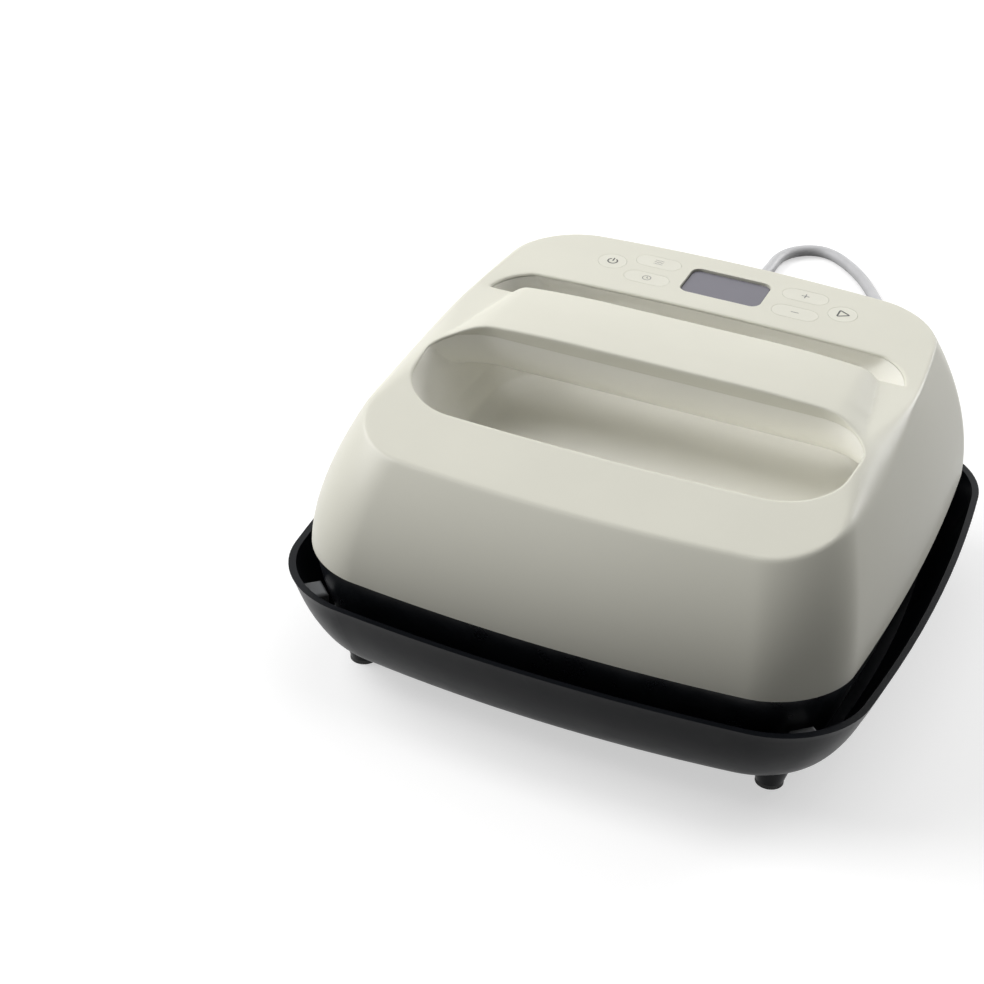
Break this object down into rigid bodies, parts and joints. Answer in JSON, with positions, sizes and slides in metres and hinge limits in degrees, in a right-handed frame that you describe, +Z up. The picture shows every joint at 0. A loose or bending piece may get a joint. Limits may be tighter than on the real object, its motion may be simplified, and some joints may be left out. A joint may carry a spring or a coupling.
{
  "type": "hand-held heat press with safety base",
  "caption": "Hand-held heat press with a square heated plate, bridge handle, display and push buttons, standing in its shallow safety base, with a trailing mains lead.",
  "frame": {"origin": "on the floor under the middle of the safety base", "axes": "+Z up, +Y towards the back where the lead comes out, +X to the right of the person using it"},
  "size_m": [0.29, 0.5854, 0.141],
  "materials": {
    "skirt_black": "fine moulded texture",
    "foot_rubber": "matte",
    "rest_grey": "matte silicone",
    "plate_metal": "non-stick coated",
    "heater_tube": "oxidised",
    "steel": "plated",
    "steel_sheet": "plain sheet",
    "insulation": "ceramic fibre felt",
    "cutoff_case": "plain",
    "shell_gloss": "gloss, pale warm grey",
    "cover_matte": "fine satin",
    "board": "solder mask",
    "inner_plastic": "matte",
    "relay_case": "matte",
    "terminal_case": "matte",
    "sink_metal": "anodised",
    "lens": "clear tinted window",
    "display_glass": "smooth",
    "ribbon": "flat cable",
    "cord_grey": "soft sheath",
    "pin_brass": "plated"
  },
  "bodies": {
    "base": {"base_tray": "skirt_black", "base_foot_tips": "foot_rubber", "base_corner_rests": "rest_grey", "cord": "cord_grey", "cord_coil": "cord_grey", "cord_tail": "cord_grey", "plug": "cord_grey", "plug_pins": "pin_brass"},
    "press": {"heat_plate": "plate_metal", "heating_elements": "heater_tube", "shield_posts": "steel", "shield_screws": "steel", "ceramic_blanket": "insulation", "heat_shield": "steel_sheet", "thermal_cutoff": "cutoff_case", "temperature_sensor": "cutoff_case", "skirt": "skirt_black", "outer_shell": "shell_gloss", "top_cover": "cover_matte", "hand_tub": "shell_gloss", "handle_grip": "shell_gloss", "shell_screws": "steel", "power_board": "board", "power_board_posts": "inner_plastic", "power_board_screws": "steel", "relay": "relay_case", "transformer": "relay_case", "triac_heat_sink": "sink_metal", "filter_capacitor": "cutoff_case", "mains_terminal": "terminal_case", "buzzer": "relay_case", "control_board": "board", "control_board_screws": "steel", "display_lens": "lens", "display_frame": "inner_plastic", "display_module": "display_glass", "tact_switches": "relay_case", "ribbon_cable": "ribbon", "strain_relief": "cord_grey", "inner_lead": "cord_grey"},
    "power_button": {"power_button": "cover_matte"},
    "start_button": {"start_button": "cover_matte"},
    "temperature_button": {"temperature_button": "cover_matte"},
    "timer_button": {"timer_button": "cover_matte"},
    "plus_button": {"plus_button": "cover_matte"},
    "minus_button": {"minus_button": "cover_matte"}
  },
  "joints": [
    {"name": "press_lift", "type": "slide", "parent": "base", "child": "press", "axis": [0, 0, 1], "range_m": [0, 0.08]},
    {"name": "power_button_travel", "type": "slide", "parent": "press", "child": "power_button", "axis": [0, 0.0638, -0.998], "range_m": [0, 0.0005], "stiffness_N_per_m": 1500},
    {"name": "start_button_travel", "type": "slide", "parent": "press", "child": "start_button", "axis": [0, 0.0638, -0.998], "range_m": [0, 0.0005], "stiffness_N_per_m": 1500},
    {"name": "temperature_button_travel", "type": "slide", "parent": "press", "child": "temperature_button", "axis": [0, 0.0638, -0.998], "range_m": [0, 0.0005], "stiffness_N_per_m": 1500},
    {"name": "timer_button_travel", "type": "slide", "parent": "press", "child": "timer_button", "axis": [0, 0.0638, -0.998], "range_m": [0, 0.0005], "stiffness_N_per_m": 1500},
    {"name": "plus_button_travel", "type": "slide", "parent": "press", "child": "plus_button", "axis": [0, 0.0638, -0.998], "range_m": [0, 0.0005], "stiffness_N_per_m": 1500},
    {"name": "minus_button_travel", "type": "slide", "parent": "press", "child": "minus_button", "axis": [0, 0.0638, -0.998], "range_m": [0, 0.0005], "stiffness_N_per_m": 1500}
  ]
}
